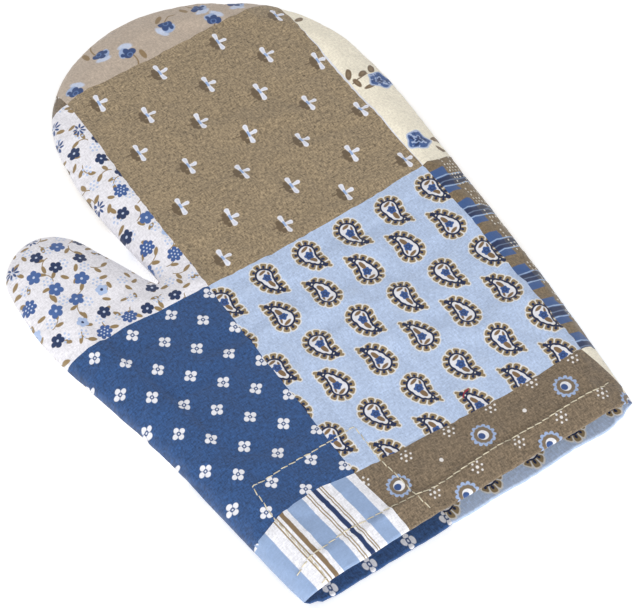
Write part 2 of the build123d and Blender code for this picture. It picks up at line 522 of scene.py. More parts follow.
class Print:
    """A cloth material under construction: its nodes, and the cloth coordinates u and v in mm."""

    def __init__(self, name, ground, heather):
        self.material = bpy.data.materials.new(name)
        self.material.use_nodes = True
        self.nodes = self.material.node_tree.nodes
        self.links = self.material.node_tree.links
        self.shader = self.nodes["Principled BSDF"]
        uv = self.node("UVMap", uv_map=CLOTH_UV)
        scale = self.node("VectorMath", operation="SCALE")
        self.put(scale.inputs[0], uv.outputs["UV"])
        set_inputs(scale, Scale=UV_UNIT)
        split = self.node("SeparateXYZ")
        self.put(split.inputs[0], scale.outputs[0])
        self.u, self.v = [Value(self, s) for s in split.outputs[:2]]
        weft = self.noise(1.9, 0.65, 2.0, 11.0, 0.7)
        warp = self.noise(0.65, 1.9, 2.0, 23.0, 0.7)
        self.threads = weft + warp
        patchy = self.noise(13.0, 13.0, 3.0, 5.0)
        plain = self.node("RGB")
        plain.outputs[0].default_value = linear(ground)
        self.colour = plain.outputs[0]
        self.shade(1.0 + (self.threads - 1.0) * (heather * 7.0) + (patchy - 0.5) * (heather * 1.2))

    def node(self, kind, **settings):
        made = self.nodes.new("ShaderNode" + kind)
        for name, value in settings.items():
            setattr(made, name, value)
        return made

    def put(self, socket, value):
        if isinstance(value, Value):
            self.links.new(value.socket, socket)
        elif isinstance(value, bpy.types.NodeSocket):
            self.links.new(value, socket)
        else:
            socket.default_value = value

    def math(self, operation, *inputs):
        made = self.node("Math", operation=operation)
        for socket, value in zip(made.inputs, inputs):
            self.put(socket, value)
        return Value(self, made.outputs[0])

    def joined(self, x, y, z=0.0):
        made = self.node("CombineXYZ")
        for socket, value in zip(made.inputs, (x, y, z)):
            self.put(socket, value)
        return made.outputs[0]

    def least(self, a, b):
        return self.math("MINIMUM", a, b)

    def most(self, a, b):
        return self.math("MAXIMUM", a, b)

    def length(self, x, y):
        return self.math("SQRT", x * x + y * y)

    def fade(self, value, zero_at, one_at):
        """0 to 1 smoothly, from one value to another."""
        made = self.node("MapRange", interpolation_type="SMOOTHSTEP", clamp=True)
        self.put(made.inputs["Value"], value)
        set_inputs(made, From_Min=zero_at, From_Max=one_at)
        return Value(self, made.outputs[0])

    def within(self, distance, soft=0.16):
        """1 where a signed distance is below 0, with a soft edge."""
        return self.fade(distance, soft, -soft)

    def disc(self, x, y, radius):
        return self.length(x, y) - radius

    def oval(self, x, y, half_length, half_width):
        """Signed distance, near enough, of an oval along x."""
        return (self.length(x / half_length, y / half_width) - 1.0) * half_width

    def capsule(self, x, y, start, end, radius):
        """Signed distance of a bar with round ends, from start to end along x."""
        along = self.least(self.most(x, start), end)
        return self.length(x - along, y) - radius

    def blob(self, x, y, discs, blend):
        """Signed distance, near enough, of discs (x, y, radius) that run together."""
        shape = None
        for cx, cy, radius in discs:
            disc = self.disc(x - cx, y - cy, radius)
            shape = disc if shape is None else self.math("SMOOTH_MIN", shape, disc, blend)
        return shape

    def turned(self, x, y, degrees):
        """The coordinates as seen from something turned by this much."""
        c = math.cos(math.radians(degrees))
        s = math.sin(math.radians(degrees))
        return x * c + y * s, y * c - x * s

    def turned_by(self, x, y, angle):
        """As turned, by an angle in radians that changes over the cloth."""
        c = self.math("COSINE", angle)
        s = self.math("SINE", angle)
        return x * c + y * s, y * c - x * s

    def oval_at(self, x, y, place, degrees, half_length, half_width):
        """Signed distance of an oval at a place, turned by this much."""
        return self.oval(*self.turned(x - place[0], y - place[1], degrees), half_length, half_width)

    def spokes(self, x, y, count):
        """The radius, and the angle from the nearest of count even spokes, as a share of their pitch."""
        angle = self.math("ARCTAN2", y, x) * (count / (2 * math.pi))
        return self.length(x, y), angle - self.math("ROUND", angle)

    def from_spoke(self, x, y, count, reach):
        """Coordinates from the nearest of count places round a ring of this radius, and the radius here."""
        radius, share = self.spokes(x, y, count)
        turn = share * (2 * math.pi / count)
        return radius * self.math("COSINE", turn) - reach, radius * self.math("SINE", turn), radius

    def cell(self, x, size):
        """Distance from the middle of the nearest cell along one direction, and the cell's number."""
        number = self.math("ROUND", x / size)
        return x - number * size, number

    def odd(self, number):
        """1 for odd numbers and 0 for even ones."""
        return abs(self.math("MODULO", number, 2.0))

    def lattice(self, origin, step, shift=0.0):
        """Coordinates within the cells of a grid of motifs. Odd rows are moved across by shift."""
        y, row = self.cell(self.v - origin[1], step[1])
        x, column = self.cell(self.u - origin[0] - self.odd(row) * shift, step[0])
        return x, y, column, row

    def chance(self, column, row, seed):
        """Three random numbers for each cell."""
        made = self.node("TexWhiteNoise", noise_dimensions="3D")
        self.put(made.inputs["Vector"], self.joined(column, row, seed))
        split = self.node("SeparateColor")
        self.put(split.inputs[0], made.outputs["Color"])
        return [Value(self, s) for s in split.outputs[:3]]

    def noise(self, x_size, y_size, detail, seed, rough=0.55):
        """Smooth noise from 0 to 1, with features of this size in millimetres."""
        made = self.node("TexNoise", noise_dimensions="3D")
        self.put(made.inputs["Vector"], self.joined(self.u / x_size, self.v / y_size, seed))
        set_inputs(made, Scale=1.0, Detail=detail, Roughness=rough)
        return Value(self, made.outputs["Fac"])

    def mix(self, factor, colour, **settings):
        made = self.node("Mix", data_type="RGBA", **settings)
        self.put(made.inputs["Factor"], factor)
        self.put(made.inputs[6], self.colour)
        self.put(made.inputs[7], colour)
        self.colour = made.outputs[2]

    def shade(self, factor):
        """Multiplies the print's colour."""
        self.mix(1.0, self.joined(factor, factor, factor), blend_type="MULTIPLY")

    def paint(self, mask, colour):
        """Lays a colour over the print where mask is 1."""
        self.mix(mask, linear(colour))

    def fill(self, distance, colour, soft=0.16, keep=None):
        """Lays a colour where a signed distance is below 0, as strongly as keep says."""
        mask = self.within(distance, soft)
        self.paint(mask if keep is None else mask * keep, colour)

    def finish(self):
        """A little unevenness over the whole print and the weave's relief, then the shader."""
        self.shade(1.0 + (self.threads - 1.0) * 0.28)
        turn = math.pi / WEAVE_SIZE
        over = self.math("SINE", self.u * turn) * self.math("SINE", self.v * turn)
        bump = self.node("Bump")
        set_inputs(bump, Strength=0.35, Distance=0.12 * MM)
        self.put(bump.inputs["Height"], over * 0.5 + self.threads * 0.9)
        self.put(self.shader.inputs["Base Color"], self.colour)
        self.put(self.shader.inputs["Normal"], bump.outputs[0])
        self.put(self.shader.inputs["Roughness"], 0.92 - 0.1 + self.threads * 0.1)
        set_inputs(self.shader, Sheen_Weight=0.25, Sheen_Roughness=0.6, Specular_IOR_Level=0.2)
        return self.material


# Print colours used more than once, sRGB from 0 to 255
TAN_LINE = (152, 132, 100)
STRIPE_BLUE = (146, 169, 205)
MEDALLION_GROUND = (124, 108, 88)
DOT_WHITE = (232, 228, 226)
BUD_STEM = (146, 122, 88)
FLORAL_TAN = (150, 126, 88)
FLORAL_NAVY = (28, 50, 92)

# Lobes of the sprig's leaf as discs (x, y, radius), and its petals as (turn, length)
SPRIG_LEAF = ((-2.0, 2.0, 1.1), (-3.0, 0.4, 0.95), (-2.9, -1.1, 1.05), (-2.0, -2.8, 1.15), (-1.3, 0.0, 1.3))
SPRIG_PETALS = ((86, 3.6), (-5, 3.0), (-90, 3.8))

# The paisley's body as discs (x, y, radius) down its bent spine, and the pitch of its scallops
TEARDROP = ((-0.3, 2.0, 3.5), (-0.35, -0.7, 2.9), (0.0, -3.0, 2.15), (0.85, -4.9, 1.45), (2.1, -6.5, 0.8))
SCALLOP_PITCH = 3.05

# The rosebuds that show whole, as (u, v, turn), and their size against the drawing
ROSEBUDS = (
    (-46.7, 258.0, 160),
    (-27.8, 268.6, 20),
    (-17.0, 263.6, 200),
    (3.8, 266.3, -30),
    (22.2, 268.0, 30),
    (24.4, 258.6, 150),
    (38.0, 262.5, 10),
)
ROSEBUD_SCALE = 0.72
BUD_PETALS = ((-1.1, 0.9, 1.25), (1.0, 1.0, 1.3), (0.1, -0.5, 1.1), (2.1, -0.2, 0.7))

# The large roses as (u, v), and the leaves by them as (u, v, turn, half length, half width)
CREAM_ROSES = ((66.5, 190.5), (60.2, 153.0))
ROSE_LEAVES = (
    (55.6, 199.0, 60, 2.9, 1.4),
    (56.2, 193.2, 100, 2.6, 1.2),
    (59.8, 188.6, -10, 2.6, 1.2),
    (61.5, 196.5, 20, 2.8, 1.3),
    (67.5, 198.5, 60, 2.6, 1.5),
    (68.5, 152.0, 10, 2.6, 1.4),
    (67.5, 146.5, -40, 2.2, 1.1),
    (52.0, 243.0, 100, 3.0, 1.7),
    (56.4, 239.0, 20, 2.6, 1.3),
)

# The ticking's stripes across the cuff: (middle, half width, colour)
STRIPES = (
    (-98.8, 5.2, STRIPE_BLUE),
    (-87.0, 0.28, TAN_LINE),
    (-88.6, 0.28, TAN_LINE),
    (-84.6, 0.95, (134, 112, 84)),
    (-77.6, 3.7, STRIPE_BLUE),
    (-71.7, 0.24, TAN_LINE),
    (-70.6, 0.24, TAN_LINE),
    (-67.9, 1.0, (28, 52, 98)),
    (-65.7, 0.24, TAN_LINE),
    (-64.7, 0.24, TAN_LINE),
    (-58.0, 3.2, STRIPE_BLUE),
)
STRIPE_SLANT = 0.115


def taupe_print():
    """Taupe linen-look cotton with white three-petalled sprigs, each on a darker lobed leaf."""
    p = Print("taupe_sprigs", (152, 134, 107), 0.27)
    for origin in ((-42.0, 246.0), (-28.4, 228.6)):
        x, y, column, row = p.lattice(origin, (30.3, 32.8))
        lean = p.chance(column, row, origin[0])[0]
        x, y = p.turned_by(x, y, (lean - 0.5) * 0.14)
        p.fill(p.blob(x, y, SPRIG_LEAF, 0.3), (108, 91, 69))
        p.fill(p.capsule(*p.turned(x, y, 172), 4.2, 5.7, 0.26), (112, 95, 73))
        petals = None
        for turn, reach in SPRIG_PETALS:
            px, py = p.turned(x, y, turn)
            along = p.least(p.most(px, 0.6), reach)
            petal = p.length(px - along, py) - along * 0.18 - 0.46
            petals = petal if petals is None else p.least(petals, petal)
        p.fill(petals, (238, 238, 246))
        p.fill(petals + 0.6, (204, 214, 238), 0.3, 0.6)
        p.fill(p.capsule(*p.turned(x, y, 90), -0.9, 0.9, 0.5), (158, 184, 228))
    return p.finish()


def denim_print():
    """Heathered denim blue with small white four-petalled flowers."""
    p = Print("denim_flowers", (44, 79, 129), 0.2)
    for origin in ((-92.6, 135.6), (-83.5, 145.3)):
        x, y, column, row = p.lattice(origin, (18.2, 19.4))
        lean = p.chance(column, row, origin[0])[0]
        x, y = p.turned_by(x, y, (lean - 0.5) * 0.3 + 0.12)
        petals = p.disc(p.most(abs(x), abs(y)) - 1.68, p.least(abs(x), abs(y)), 1.1)
        p.fill(petals, (234, 234, 240), 0.18)
        p.fill(p.disc(x, y, 0.86), (38, 70, 122))
        p.fill(p.disc(x, y, 0.38), (222, 226, 236))
    return p.finish()


def paisley(p, x, y):
    """One paisley: white halo, tan scallops with navy dots, navy outline, white ring, rose and leaves."""
    navy = (12, 32, 72)
    tan = (146, 126, 92)
    brown = (128, 102, 72)
    shape = p.blob(x, y, TEARDROP, 0.9)
    # The run round the outline, in scallop pitches: round the top, then down each side of the bent tail
    drop = p.least(y - 2.0, 0.0)
    across = x + 0.3 - drop * drop * 0.035
    side = p.math("SIGN", across)
    round_top = p.math("ARCTAN2", p.most(y - 2.0, 0.0), across) * 5.0
    bulge = p.math("ARCTAN2", drop * -1.0, p.most(7.7 - x, 0.5)) * 12.0
    run = (round_top + (side + 1.0) * drop * 0.5 + (1.0 - side) * bulge * 0.5) * (1 / SCALLOP_PITCH) + 0.25
    part = (run - p.math("ROUND", run)) * SCALLOP_PITCH
    box_x = p.most(abs(part) - 0.55, 0.0)
    box_y = p.most(abs(shape - 1.3) - 0.55, 0.0)
    scallop = p.most(p.length(box_x, box_y) - 0.68, -8.6 - y)
    tip = p.capsule(*p.turned(x - 3.2, y + 7.9, -42), 0.0, 1.9, 0.6)
    trim = p.least(scallop, tip)
    p.fill(trim - 0.45, (232, 228, 222), 0.3)
    p.fill(shape - 0.6, (228, 224, 216), 0.3)
    p.fill(trim, tan)
    p.fill(p.length(part, shape - 1.0) - 0.66, navy)
    p.fill(abs(shape) - 0.42, navy, 0.12)
    p.fill(p.most(shape + 0.42, -5.3 - y), (232, 232, 238), 0.12)
    p.fill(p.oval_at(x, y, (0.2, -2.7), -74, 2.1, 1.0), brown, 0.14)
    leaves = p.least(p.oval_at(x, y, (-0.1, 3.8), 14, 1.8, 0.7), p.oval_at(x, y, (1.7, 1.9), 75, 1.3, 0.5))
    p.fill(leaves, brown)
    angle = p.math("ARCTAN2", y - 0.4, x)
    p.fill(p.length(x, y - 0.4) - 1.85 - p.math("SINE", angle * 5.0) * 0.25, (54, 88, 148), 0.14)
    p.fill(abs(p.disc(x - 0.1, y - 0.3, 0.8)) - 0.18, (28, 50, 98), 0.12)
    p.fill(p.disc(x - 2.7, y + 7.4, 0.95), navy)


def paisley_print():
    """Light blue cotton with rows of paisleys that point up and down in turn."""
    p = Print("blue_paisley", (183, 201, 231), 0.06)
    p.paint(p.fade(p.noise(9.0, 9.0, 3.0, 2.0), 0.45, 0.8) * 0.4, (197, 212, 236))
    for origin, turn in (((-12.0, 128.6), 0), ((3.4, 109.6), 180)):
        x, y, _, _ = p.lattice(origin, (20.6, 38.8))
        paisley(p, *p.turned(x, y, turn))
    return p.finish()


def small_flower(p, place, count, reach, petal, eye, colours, keep):
    """A round flower with equal petals and an eye, shown where keep is 1."""
    px, py, radius = p.from_spoke(*place, count, reach)
    p.fill(p.least(p.disc(px, py, petal), radius - reach), colours[0], keep=keep)
    p.fill(p.disc(*place, eye), colours[1], keep=keep)


def dot_ring(p, x, y, count, reach, dot, centre, colour, keep=None):
    """Round dots in a ring about one in the middle."""
    px, py, radius = p.from_spoke(x, y, count, reach)
    p.fill(p.least(p.disc(px, py, dot), radius - centre), colour, 0.14, keep)


def between(p, value, low, high):
    """1 where a random number is from low to high."""
    return p.fade(value, low - 0.001, low) * p.fade(value, high, high - 0.001)


def white_floral_print():
    """White cotton strewn with blue and navy flowers, tan leaf sprigs and pale dots."""
    p = Print("white_floral", (234, 232, 238), 0.045)
    for origin, seed in (((-104.0, 186.0), 1.0), ((-99.4, 192.6), 5.0)):
        x, y, column, row = p.lattice(origin, (11.4, 13.6), 5.7)
        turn, kind, nudge = p.chance(column, row, seed)
        x, y = p.turned_by(x - (nudge - 0.5) * 2.6, y, turn * (2 * math.pi))
        stem = p.most(abs(p.disc(x, y - 4.2, 4.2)) - 0.2, abs(x) - 3.0)
        p.fill(p.most(stem, y - 2.0), FLORAL_TAN, 0.12, between(p, kind, 0.0, 0.6))
        leaf = p.oval_at(x, y, (2.9, 1.3), 35, 1.85, 0.86)
        other = p.oval_at(x, y, (-0.9, -1.4), -62, 1.75, 0.82)
        p.fill(p.least(leaf, other), FLORAL_TAN, 0.14)
    for origin, seed in (((-99.0, 181.0), 2.0), ((-91.0, 176.0), 6.0)):
        x, y, column, row = p.lattice(origin, (17.0, 15.0), 8.5)
        turn, kind, nudge = p.chance(column, row, seed)
        x, y = p.turned_by(x - (nudge - 0.5) * 3, y - (kind - 0.5) * 3, turn * 6.0)
        dot_ring(p, x, y, 6, 1.75, 0.5, 0.5, (190, 204, 232))
    x, y, column, row = p.lattice((-107.0, 172.0), (11.0, 9.6), 5.5)
    turn, kind, nudge = p.chance(column, row, 3.0)
    x, y = p.turned_by(x - (nudge - 0.5) * 3.2, y - (turn - 0.5) * 2.6, turn * 6.0)
    flowers = (
        (5, 1.7, 1.15, 0.5, (FLORAL_NAVY, (200, 210, 230)), 0.0, 0.33),
        (5, 1.9, 1.3, 0.55, ((70, 102, 160), (196, 208, 232)), 0.33, 0.52),
        (5, 1.4, 1.2, 0.62, ((174, 194, 230), FLORAL_NAVY), 0.52, 0.6),
        (7, 2.4, 0.95, 0.2, ((60, 92, 152), (220, 226, 238)), 0.6, 0.74),
    )
    for count, reach, petal, eye, colours, low, high in flowers:
        small_flower(p, (x, y), count, reach, petal, eye, colours, between(p, kind, low, high))
    dot_ring(p, x, y, 6, 1.45, 0.32, 0.32, (206, 216, 236), between(p, kind, 0.6, 0.74))
    px, py, _ = p.from_spoke(x, y, 8, 1.9)
    p.fill(p.oval(px, py, 1.15, 0.46), (48, 76, 130), 0.12, between(p, kind, 0.74, 0.84))
    return p.finish()


def rosebud(p, x, y):
    """A rosebud hanging on a bent stem: deep blue petals with a paler one below."""
    stem = p.most(abs(p.disc(x - 5.4, y - 1.5, 5.6)) - 0.24, abs(y - 3.4) - 3.2)
    p.fill(p.most(stem, x - 3.5), BUD_STEM, 0.12)
    p.fill(p.oval_at(x, y, (-2.2, 4.4), 70, 2.0, 0.85), BUD_STEM, 0.14)
    p.fill(p.oval_at(x, y, (-0.9, -1.9), -30, 2.4, 1.15), (200, 210, 232), 0.3)
    p.fill(p.oval_at(x, y, (1.4, -0.6), 40, 2.0, 1.4), (160, 180, 216), 0.25)
    p.fill(p.blob(x, y, BUD_PETALS, 0.35), (48, 74, 124), 0.18)
    p.fill(abs(p.disc(x - 0.2, y - 1.2, 0.8)) - 0.16, (92, 120, 170), 0.12)


def rosebud_print():
    """Beige-pink cotton with loose rosebuds: seven placed ones, then an even scatter above them."""
    p = Print("beige_rosebuds", (190, 174, 158), 0.06)
    for u, v, turn in ROSEBUDS:
        x, y = p.turned(p.u - u, p.v - v, turn)
        rosebud(p, x * ROSEBUD_SCALE, y * ROSEBUD_SCALE)
    x, y, column, row = p.lattice((-10.0, 290.0), (26.0, 17.0), 13.0)
    x, y = p.turned_by(x, y, p.chance(column, row, 8.0)[0] * 6.0)
    far_off_below = p.fade(p.v, 280.0, 279.0) * 40.0
    rosebud(p, x * ROSEBUD_SCALE + far_off_below, y * ROSEBUD_SCALE)
    return p.finish()


def rose(p, x, y):
    """A full blue rose in a pale halo."""
    angle = p.math("ARCTAN2", y, x)
    wobble = p.math("SINE", angle * 5.0) * 0.5 + p.math("SINE", angle * 3.0 + 1.0) * 0.35
    radius = p.length(x, y) + wobble
    patchy = p.noise(2.3, 2.3, 1.0, 4.0)
    p.fill(radius - 5.4, (178, 194, 226), 0.4)
    p.fill(radius - 4.7, (62, 94, 152), 0.3, p.fade(patchy, 0.36, 0.42))
    p.fill(radius - 4.0, (30, 54, 104), 0.3, p.fade(patchy, 0.56, 0.6))
    p.fill(abs(radius - 1.9) - 0.3, (172, 190, 224), 0.2)
    p.fill(radius - 1.1, (34, 58, 108), 0.3)


def cream_rose_print():
    """Cream cotton with large blue roses and brown leaves."""
    p = Print("cream_roses", (249, 241, 221), 0.04)
    leaves = p.capsule(*p.turned(p.u - 54.5, p.v - 194.0, 10), 0.0, 9.0, 0.3)
    for u, v, turn, half_length, half_width in ROSE_LEAVES:
        leaves = p.least(leaves, p.oval_at(p.u, p.v, (u, v), turn, half_length, half_width))
    p.fill(leaves, (122, 102, 78), 0.2)
    p.fill(leaves + 0.75, (146, 126, 98), 0.2, 0.7)
    for u, v in CREAM_ROSES:
        rose(p, p.u - u, p.v - v)
    p.fill(p.most(abs(p.u - 53.2) - 0.45, 139.0 - p.v), (228, 230, 240), 0.25)
    return p.finish()


def plaid_print():
    """Brown and blue plaid: blue blocks crossed by navy bars, and dotted white lines."""
    p = Print("brown_blue_plaid", (128, 110, 84), 0.18)
    y, row = p.cell(p.v - 109.5, 19.4)
    column, _ = p.cell(p.u - 57.0, 15.5)
    away = abs(column)
    p.fill(p.most(away - 3.5, abs(y) - 6.9), (60, 94, 150), 0.2)
    bar = abs(y + 0.4) - 2.3
    p.fill(bar, (26, 46, 88), 0.4, p.within(away - 3.5))
    p.fill(bar, (42, 58, 88), 0.5, p.fade(away, 3.4, 3.6) * 0.85)
    for offset, strength in ((-3.2, 1.0), (-0.6, 0.35), (2.4, 0.9)):
        p.fill(abs(y - offset) - 0.3, (164, 190, 228), 0.16, strength)
    dash, number = p.cell(p.v, 1.9)
    gone = p.chance(number, row, 9.0)[0]
    for offset, share in ((5.4, 0.75), (7.0, 0.45)):
        dot = p.oval(away - offset, dash, 0.34, 0.5)
        p.fill(dot, (222, 216, 204), 0.12, p.fade(gone, share, share - 0.01))
    return p.finish()


def medallion_print():
    """Dark taupe cotton with white dot flowers and scalloped medallions."""
    p = Print("brown_medallions", MEDALLION_GROUND, 0.24)
    x, y, _, _ = p.lattice((-13.8, 28.6), (20.2, 19.6))
    dot_ring(p, x, y, 6, 2.15, 0.46, 0.66, DOT_WHITE)
    x, y, _, row = p.lattice((-43.8, 19.6), (40.2, 17.6), 20.6)
    radius, share = p.spokes(x, y, 13)
    part = abs(share)
    p.fill(radius - 5.15 + part * part * 4.2, (160, 180, 216))
    p.fill(radius - 3.85 + part * 0.5, MEDALLION_GROUND, 0.25)
    p.fill(p.disc(x, y, 2.25), (236, 236, 240))
    p.fill(p.disc(x + 0.75, y + 0.1, 1.45), (52, 82, 138))
    p.fill(p.disc(abs(x) - 20.1, y, 0.85), DOT_WHITE, keep=1.0 - p.odd(row))
    return p.finish()


def stripe_print():
    """Light blue and white ticking with thin tan, navy and brown lines, running up the cuff."""
    p = Print("ticking_stripes", (236, 236, 242), 0.05)
    across = p.u + p.v * STRIPE_SLANT + 0.35 * (p.noise(60.0, 22.0, 1.0, 9.0) - 0.5)
    for middle, half, colour in STRIPES:
        p.fill(abs(across - middle) - half, colour, 0.14)
    return p.finish()


def batting_material():
    """Loose cotton fibres pressed into wadding."""
    p = Print("cotton_batting", (236, 231, 220), 0.05)
    p.paint(p.fade(p.noise(1.6, 1.6, 6.0, 3.0, 0.7), 0.4, 0.8) * 0.5, (214, 206, 190))
    return p.finish()


def thread_material(name, colour):
    """Twisted cotton thread."""
    material = bpy.data.materials.new(name)
    material.use_nodes = True
    nodes, links = material.node_tree.nodes, material.node_tree.links
    shader = nodes["Principled BSDF"]
    twist = nodes.new("ShaderNodeTexWave")
    twist.bands_direction = "DIAGONAL"
    set_inputs(twist, Scale=1.0 / (0.5 * MM) / 20)
    links.new(nodes.new("ShaderNodeTexCoord").outputs["Object"], twist.inputs["Vector"])
    mix = nodes.new("ShaderNodeMix")
    mix.data_type = "RGBA"
    mix.inputs[6].default_value = linear(tuple(c * 0.86 for c in colour))
    mix.inputs[7].default_value = linear(colour)
    bump = nodes.new("ShaderNodeBump")
    set_inputs(bump, Strength=0.4, Distance=0.1 * MM)
    links.new(twist.outputs["Fac"], mix.inputs["Factor"])
    links.new(twist.outputs["Fac"], bump.inputs["Height"])
    links.new(mix.outputs[2], shader.inputs["Base Color"])
    links.new(bump.outputs[0], shader.inputs["Normal"])
    set_inputs(shader, Roughness=0.75, Sheen_Weight=0.3)
    return material


def print_materials():
    """One material for each kind of printed patch."""
    return {
        "stripes": stripe_print(),
        "denim": denim_print(),
        "floral": white_floral_print(),
        "medallions": medallion_print(),
        "paisley": paisley_print(),
        "taupe": taupe_print(),
        "rosebuds": rosebud_print(),
        "roses": cream_rose_print(),
        "plaid": plaid_print(),
    }


def patch_at(u, v):
    """The name of the printed patch at a cloth coordinate."""
    column = sum(u > np.interp(v, *np.transpose(line)[::-1]) for line in (LEFT_LINE, RIGHT_LINE))
    row = sum(v > np.interp(u, *np.transpose(line)) for line in (CUFF_LINE, MIDDLE_LINE, TOP_LINE))
    return PATCHES[column][row]


def smooth_step(value):
    """0 below 0, 1 above 1, and smooth between."""
    t = np.clip(value, 0, 1)
    return t * t * (3 - 2 * t)


def panel_thickness(y, gap):
    """How thick a panel is at a place: thin at the hem, and tapering to nothing at the seam."""
    full = HEM_THICKNESS + (PANEL_THICKNESS - HEM_THICKNESS) * smooth_step((y - CUFF_Y) / HEM_FADE)
    return full * np.sqrt(np.clip(gap / SEAM_TAPER, 0, 1))


def vertex_normals(verts, faces):
    """Area-weighted normals of a shell's vertices."""
    faces = np.array(faces)
    cross = np.cross(verts[faces[:, 1]] - verts[faces[:, 0]], verts[faces[:, 2]] - verts[faces[:, 0]])
    normals = np.zeros_like(verts)
    for k in range(3):
        np.add.at(normals, faces[:, k], cross)
    return normals / np.maximum(lengths(normals), 1e-9)[:, None]


def new_piece(name, verts, faces, slots, slot_of_face=None, uvs=None, normals=None):
    """A mesh piece from points in millimetres."""
    mesh = bpy.data.meshes.new(name)
    mesh.from_pydata([tuple(v) for v in np.asarray(verts) * MM], [], faces)
    for material in slots:
        mesh.materials.append(material)
    if slot_of_face is not None:
        mesh.polygons.foreach_set("material_index", slot_of_face)
    layer = mesh.uv_layers.new(name=CLOTH_UV)
    if uvs is not None:
        loop_verts = np.zeros(len(mesh.loops), int)
        mesh.loops.foreach_get("vertex_index", loop_verts)
        layer.data.foreach_set("uv", (np.asarray(uvs) / UV_UNIT)[loop_verts].ravel())
    mesh.polygons.foreach_set("use_smooth", [True] * len(mesh.polygons))
    if normals is not None:
        mesh.normals_split_custom_set_from_vertices([tuple(n) for n in normals])
    mesh.update()
    piece = bpy.data.objects.new(name, mesh)
    bpy.context.scene.collection.objects.link(piece)
    return piece


def grid_faces(rows, count, wrap=False):
    """Quads between rows of count points each, joined round where the rows wrap."""
    faces = []
    for j in range(rows - 1):
        for k in range(count if wrap else count - 1):
            a = j * count + k
            b = j * count + (k + 1) % count
            faces.append((a, b, b + count, a + count))
    return faces


def flipped(faces):
    """The same faces seen from the other side."""
    return [(f[0], *f[:0:-1]) for f in faces]


class Surface:
    """The outside of the mitt, to find places on."""

    def __init__(self, shell, path):
        self.shell = shell
        self.path = path
        self.normals = vertex_normals(shell["verts"], shell["front"] + shell["back"])
        self.trees = {}
        for side in ("front", "back"):
            self.trees[side] = BVHTree.FromPolygons([tuple(v) for v in shell["verts"]], shell[side])

    def at(self, x, y, side):
        """The point of a side at x, y and its outward normal."""
        up = 1 if side == "front" else -1
        place, _, face, _ = self.trees[side].ray_cast(Vector((x, y, FAR * up)), Vector((0, 0, -up)))
        if place is None:
            place, _, face, _ = self.trees[side].find_nearest(Vector((x, y, SEAM_Z)))
        corners = self.shell[side][face]
        gaps = [1 / ((place - Vector(self.shell["verts"][i])).length + 0.05) for i in corners]
        mixed = sum((Vector(self.normals[i]) * g for i, g in zip(corners, gaps)), Vector())
        return np.array(place), np.array(mixed.normalized())

    def inside_at(self, x, y, side, further=0.0):
        """The point on the inner face of a side's panel at x, y, or further in."""
        spot, normal = self.at(x, y, side)
        gap = float(distance_to(self.path, np.array([[x, y]]))[0])
        return spot - normal * (panel_thickness(y, gap) + further)

    def layer(self, side, part, margins=(0.0, -1.0)):
        """The part's triangles that lie these margins in from the seam and the hem.

        Gives the triangles, and the points, normals, flat places and seam gaps of their vertices."""
        flat = self.shell["flat"]
        faces = np.array(self.shell[side])
        chosen = in_fingers(flat[faces].mean(1)) == (part == "fingers")
        chosen &= self.shell["gap"][faces].min(1) >= margins[0]
        chosen &= flat[faces, 1].min(1) >= CUFF_Y + margins[1]
        old, new = np.unique(faces[chosen], return_inverse=True)
        kept = [tuple(f) for f in new.reshape(-1, 3).tolist()]
        return kept, self.shell["verts"][old], self.normals[old], flat[old], self.shell["gap"][old]


def flat_area(flat, faces):
    """The area of triangles as they lie flat, in square metres."""
    f = np.array(faces)
    a = flat[f[:, 1]] - flat[f[:, 0]]
    b = flat[f[:, 2]] - flat[f[:, 0]]
    return float(np.abs(a[:, 0] * b[:, 1] - a[:, 1] * b[:, 0]).sum() / 2) * MM * MM


def flat_size(flat):
    """The width and length of cloth as it lies flat, in metres."""
    return tuple(float(s) * MM for s in flat.max(0) - flat.min(0))


def cloth_uvs(flat, side):
    """The cloth coordinates of places on a flat panel."""
    return np.stack(to_cloth(flat[:, 0], flat[:, 1], side), 1)


def turned_hem(surface, side):
    """The cloth past the hem's edge: a small round turn, then a strip back along the inside.

    Gives points, faces and cloth coordinates."""
    shell = surface.shell
    flat = shell["flat"]
    on_hem = {i for f in shell[side] for i in f if abs(flat[i, 1] - CUFF_Y) < 0.01}
    hem = sorted(on_hem, key=lambda i: flat[i, 0])
    outward = np.array([0, 0, 1 if side == "front" else -1])
    points, uvs = [], []
    for i in hem:
        out = surface.normals[i].copy()
        x = flat[i, 0]
        gap = min(x - flat[hem[0], 0], flat[hem[-1], 0] - x)
        out[0] = 0
        if gap < HEM_CORNER:
            out = out * gap / HEM_CORNER + outward * (1 - gap / HEM_CORNER)
        out /= np.linalg.norm(out)
        forth = np.array([0, -abs(out[2]), out[1] * np.sign(out[2])])
        half = 0.5 * float(panel_thickness(CUFF_Y, gap)) + 0.05
        centre = shell["verts"][i] - out * half
        u, v = to_cloth(x, CUFF_Y, side)
        points.append(shell["verts"][i])
        uvs.append((u, v))
        for angle in np.radians(HEM_TURN_ANGLES):
            points.append(centre + half * (out * math.cos(angle) + forth * math.sin(angle)))
            uvs.append((u, v - half * angle))
        for inset in HEM_RETURN_ROWS:
            points.append(surface.inside_at(x, CUFF_Y + inset, side))
            uvs.append((u, v - half * math.pi - inset))
    faces = grid_faces(len(hem), len(points) // len(hem))
    return np.array(points), faces if side == "front" else flipped(faces), np.array(uvs)


